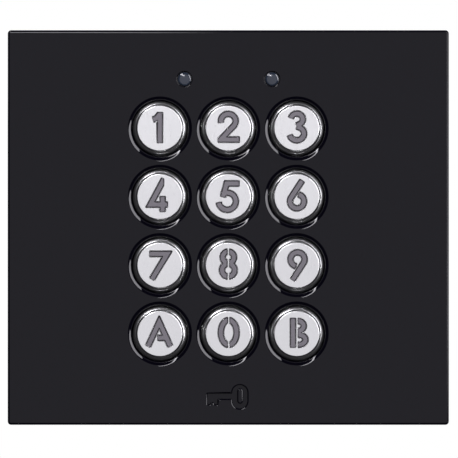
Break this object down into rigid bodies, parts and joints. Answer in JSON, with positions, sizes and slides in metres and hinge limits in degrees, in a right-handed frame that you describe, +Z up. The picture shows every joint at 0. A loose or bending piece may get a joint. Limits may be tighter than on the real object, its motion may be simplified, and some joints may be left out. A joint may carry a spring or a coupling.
{
  "type": "keypad access reader",
  "caption": "Wall keypad for door access: a gloss black cover with a grid of round metal keys, status lenses and a sunk key mark, on a rear housing and a steel wall bracket.",
  "frame": {"origin": "middle of the face that meets the wall", "axes": "+X to the right seen from the front, +Z up, and the keys face -Y; the wall is the plane Y = 0"},
  "size_m": [0.129, 0.029, 0.1154],
  "materials": {
    "cover_gloss_black": "high gloss black",
    "key_metal": "satin face with polished shoulder",
    "key_light_guide": "translucent grey",
    "silicone_grey": "matt silicone",
    "lens_smoke": "smoked, unlit",
    "led_white": "pale",
    "board_green": "solder resist over glass-fibre laminate",
    "coil_copper": "enamelled copper wire",
    "component_black": "moulded",
    "relay_blue": "moulded",
    "terminal_green": "moulded",
    "bracket_zinc": "zinc plated sheet",
    "screw_zinc": "zinc plated",
    "screw_black": "black oxide",
    "stem_white": "moulded acetal",
    "housing_black": "fine textured black",
    "seal_foam": "closed-cell foam"
  },
  "bodies": {
    "base": {"front_cover": "cover_gloss_black", "keypad_mat": "silicone_grey", "status_lens_left": "lens_smoke", "status_lens_right": "lens_smoke", "status_led_left": "led_white", "status_led_right": "led_white", "main_board": "board_green", "reader_coil": "coil_copper", "controller_chip": "component_black", "relay": "relay_blue", "sounder": "component_black", "filter_capacitor": "component_black", "terminal_block": "terminal_green", "terminal_screw_1": "screw_zinc", "terminal_screw_2": "screw_zinc", "terminal_screw_3": "screw_zinc", "terminal_screw_4": "screw_zinc", "terminal_screw_5": "screw_zinc", "terminal_screw_6": "screw_zinc", "tamper_switch": "component_black", "reset_switch": "component_black", "cover_seal": "silicone_grey", "rear_housing": "housing_black", "wall_seal": "seal_foam", "wall_bracket": "bracket_zinc", "cover_screw_top_left": "screw_black", "board_screw_top_left": "screw_zinc", "cover_screw_top_right": "screw_black", "board_screw_top_right": "screw_zinc", "cover_screw_bottom_left": "screw_black", "board_screw_bottom_left": "screw_zinc", "cover_screw_bottom_right": "screw_black", "board_screw_bottom_right": "screw_zinc", "lock_screw": "screw_black"},
    "key_1": {"key_cap_1": "key_metal", "key_insert_1": "key_light_guide"},
    "key_2": {"key_cap_2": "key_metal", "key_insert_2": "key_light_guide"},
    "key_3": {"key_cap_3": "key_metal", "key_insert_3": "key_light_guide"},
    "key_4": {"key_cap_4": "key_metal", "key_insert_4": "key_light_guide"},
    "key_5": {"key_cap_5": "key_metal", "key_insert_5": "key_light_guide"},
    "key_6": {"key_cap_6": "key_metal", "key_insert_6": "key_light_guide"},
    "key_7": {"key_cap_7": "key_metal", "key_insert_7": "key_light_guide"},
    "key_8": {"key_cap_8": "key_metal", "key_insert_8": "key_light_guide"},
    "key_9": {"key_cap_9": "key_metal", "key_insert_9": "key_light_guide"},
    "key_a": {"key_cap_a": "key_metal", "key_insert_a": "key_light_guide"},
    "key_0": {"key_cap_0": "key_metal", "key_insert_0": "key_light_guide"},
    "key_b": {"key_cap_b": "key_metal", "key_insert_b": "key_light_guide"},
    "tamper_stem": {"tamper_plunger": "stem_white"},
    "reset_stem": {"reset_button": "stem_white"}
  },
  "joints": [
    {"name": "press_1", "type": "slide", "parent": "base", "child": "key_1", "axis": [0, 1, 0], "range_m": [0, 0.0012], "stiffness_N_per_m": 500, "springref_m": -0.0012, "deforming": ["keypad_mat"]},
    {"name": "press_2", "type": "slide", "parent": "base", "child": "key_2", "axis": [0, 1, 0], "range_m": [0, 0.0012], "stiffness_N_per_m": 500, "springref_m": -0.0012, "deforming": ["keypad_mat"]},
    {"name": "press_3", "type": "slide", "parent": "base", "child": "key_3", "axis": [0, 1, 0], "range_m": [0, 0.0012], "stiffness_N_per_m": 500, "springref_m": -0.0012, "deforming": ["keypad_mat"]},
    {"name": "press_4", "type": "slide", "parent": "base", "child": "key_4", "axis": [0, 1, 0], "range_m": [0, 0.0012], "stiffness_N_per_m": 500, "springref_m": -0.0012, "deforming": ["keypad_mat"]},
    {"name": "press_5", "type": "slide", "parent": "base", "child": "key_5", "axis": [0, 1, 0], "range_m": [0, 0.0012], "stiffness_N_per_m": 500, "springref_m": -0.0012, "deforming": ["keypad_mat"]},
    {"name": "press_6", "type": "slide", "parent": "base", "child": "key_6", "axis": [0, 1, 0], "range_m": [0, 0.0012], "stiffness_N_per_m": 500, "springref_m": -0.0012, "deforming": ["keypad_mat"]},
    {"name": "press_7", "type": "slide", "parent": "base", "child": "key_7", "axis": [0, 1, 0], "range_m": [0, 0.0012], "stiffness_N_per_m": 500, "springref_m": -0.0012, "deforming": ["keypad_mat"]},
    {"name": "press_8", "type": "slide", "parent": "base", "child": "key_8", "axis": [0, 1, 0], "range_m": [0, 0.0012], "stiffness_N_per_m": 500, "springref_m": -0.0012, "deforming": ["keypad_mat"]},
    {"name": "press_9", "type": "slide", "parent": "base", "child": "key_9", "axis": [0, 1, 0], "range_m": [0, 0.0012], "stiffness_N_per_m": 500, "springref_m": -0.0012, "deforming": ["keypad_mat"]},
    {"name": "press_a", "type": "slide", "parent": "base", "child": "key_a", "axis": [0, 1, 0], "range_m": [0, 0.0012], "stiffness_N_per_m": 500, "springref_m": -0.0012, "deforming": ["keypad_mat"]},
    {"name": "press_0", "type": "slide", "parent": "base", "child": "key_0", "axis": [0, 1, 0], "range_m": [0, 0.0012], "stiffness_N_per_m": 500, "springref_m": -0.0012, "deforming": ["keypad_mat"]},
    {"name": "press_b", "type": "slide", "parent": "base", "child": "key_b", "axis": [0, 1, 0], "range_m": [0, 0.0012], "stiffness_N_per_m": 500, "springref_m": -0.0012, "deforming": ["keypad_mat"]},
    {"name": "tamper_release", "type": "slide", "parent": "base", "child": "tamper_stem", "axis": [0, 1, 0], "range_m": [0, 0.0015], "stiffness_N_per_m": 200, "springref_m": 0.003},
    {"name": "reset_press", "type": "slide", "parent": "base", "child": "reset_stem", "axis": [0, -1, 0], "range_m": [0, 0.0003], "stiffness_N_per_m": 900, "springref_m": -0.0005}
  ]
}
